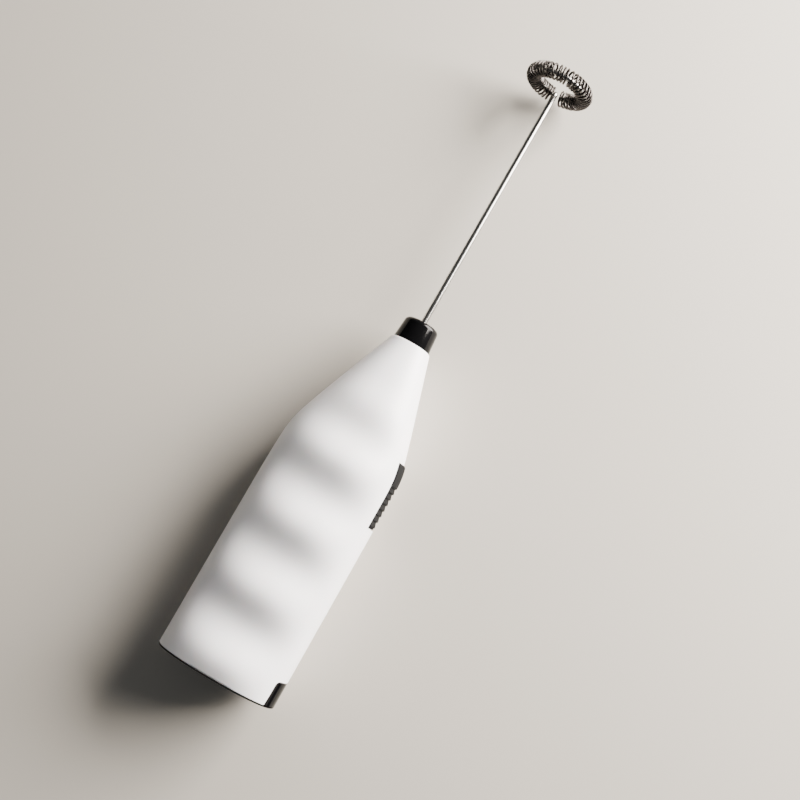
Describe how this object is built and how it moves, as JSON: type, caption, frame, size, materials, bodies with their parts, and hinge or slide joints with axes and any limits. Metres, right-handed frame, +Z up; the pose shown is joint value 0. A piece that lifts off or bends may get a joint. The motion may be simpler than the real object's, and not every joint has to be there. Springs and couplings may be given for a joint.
{
  "type": "milk frother",
  "caption": "Battery milk frother: flattened oval handle with grip waves, side slide switch, end battery cover, and a wire whisk with a coiled ring.",
  "frame": {"origin": "centre of the bounding box in plan, on the surface that the handle's back rests on", "axes": "+Y along the handle towards the whisk, +X to the switch side, +Z up out of the grip-wave face"},
  "size_m": [0.04, 0.2168, 0.0272],
  "materials": {
    "white_abs": "satin white moulded ABS",
    "black_gloss": "glossy black ABS",
    "black_matte": "matte dark plastic",
    "black_plastic": "plain black nylon",
    "bronze": "sintered bronze",
    "zinc_steel": "zinc plated steel",
    "ferrite": "ferrite",
    "brass": "plain brass",
    "copper": "enamelled copper",
    "steel": "ground steel",
    "stainless_wire": "drawn stainless wire",
    "stainless_coil": "drawn stainless wire",
    "cell_jacket": "plain cell jacket",
    "nickel": "nickel plated steel"
  },
  "bodies": {
    "housing": {"front_shell": "white_abs", "back_shell": "white_abs", "nose_collar": "black_gloss", "nose_bush": "bronze", "motor_can": "zinc_steel", "motor_end_cap": "black_plastic", "motor_magnets": "ferrite", "motor_front_bush": "bronze", "motor_rear_bush": "bronze", "motor_terminals": "brass", "motor_brushes": "brass", "left_cell": "cell_jacket", "right_cell": "cell_jacket", "contact_plate": "black_plastic", "positive_contact": "nickel", "negative_spring": "nickel", "switch_base": "black_plastic", "switch_contacts": "brass"},
    "switch": {"switch_slider": "black_matte", "switch_retainer": "black_plastic", "switch_leaf": "brass"},
    "whisk": {"motor_shaft": "steel", "armature_core": "steel", "armature_windings": "copper", "commutator": "copper", "shaft_coupling": "brass", "whisk_wire": "stainless_wire", "whisk_coil": "stainless_coil"},
    "cover": {"battery_cover": "black_gloss", "bridge_contact": "nickel", "bridge_spring": "nickel"}
  },
  "joints": [
    {"name": "whisk_spin", "type": "hinge", "parent": "housing", "child": "whisk", "pos_m": [0.0016, 0, 0.0132], "axis": [0, 1, 0], "continuous": true},
    {"name": "switch_slide", "type": "slide", "parent": "housing", "child": "switch", "axis": [0, 1, 0], "range_m": [0, 0.004]},
    {"name": "cover_pull", "type": "slide", "parent": "housing", "child": "cover", "axis": [0, -1, 0], "range_m": [0, 0.015]}
  ]
}
